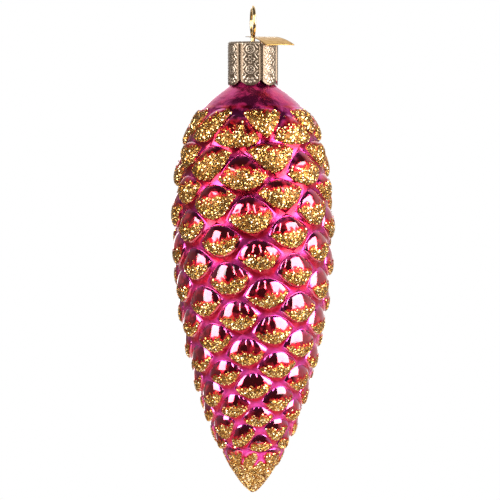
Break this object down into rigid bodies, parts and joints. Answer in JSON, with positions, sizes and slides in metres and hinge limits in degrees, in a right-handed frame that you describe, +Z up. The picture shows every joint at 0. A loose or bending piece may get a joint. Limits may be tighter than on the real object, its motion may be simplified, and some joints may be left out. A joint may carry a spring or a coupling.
{
  "type": "pine cone ornament",
  "caption": "Hanging glass ornament shaped as a pine cone with relief scales, a fluted metal cap, a wire loop and a small foil tag.",
  "frame": {"origin": "inner top of the wire loop, where a hook or thread carries the ornament", "axes": "+Z up along the ornament's axis, the cone's tip pointing down; -Y is the front seen in the picture, +X to its right"},
  "size_m": [0.0428, 0.0428, 0.1266],
  "materials": {
    "pink_mirror_glass": "blown glass, silvered inside, with a clear magenta lacquer outside",
    "stamped_gold_metal": "thin stamped sheet, pale champagne gold, softly bright",
    "brass_wire": "drawn wire, bright",
    "gold_foil": "thin embossed foil, bright gold",
    "gold_glitter": "coarse gold glitter glued to the lower half of each scale"
  },
  "bodies": {
    "root": {"glass_body": "pink_mirror_glass", "cap": "stamped_gold_metal", "hanger_wire": "brass_wire", "hang_tag": "gold_foil"}
  },
  "joints": []
}
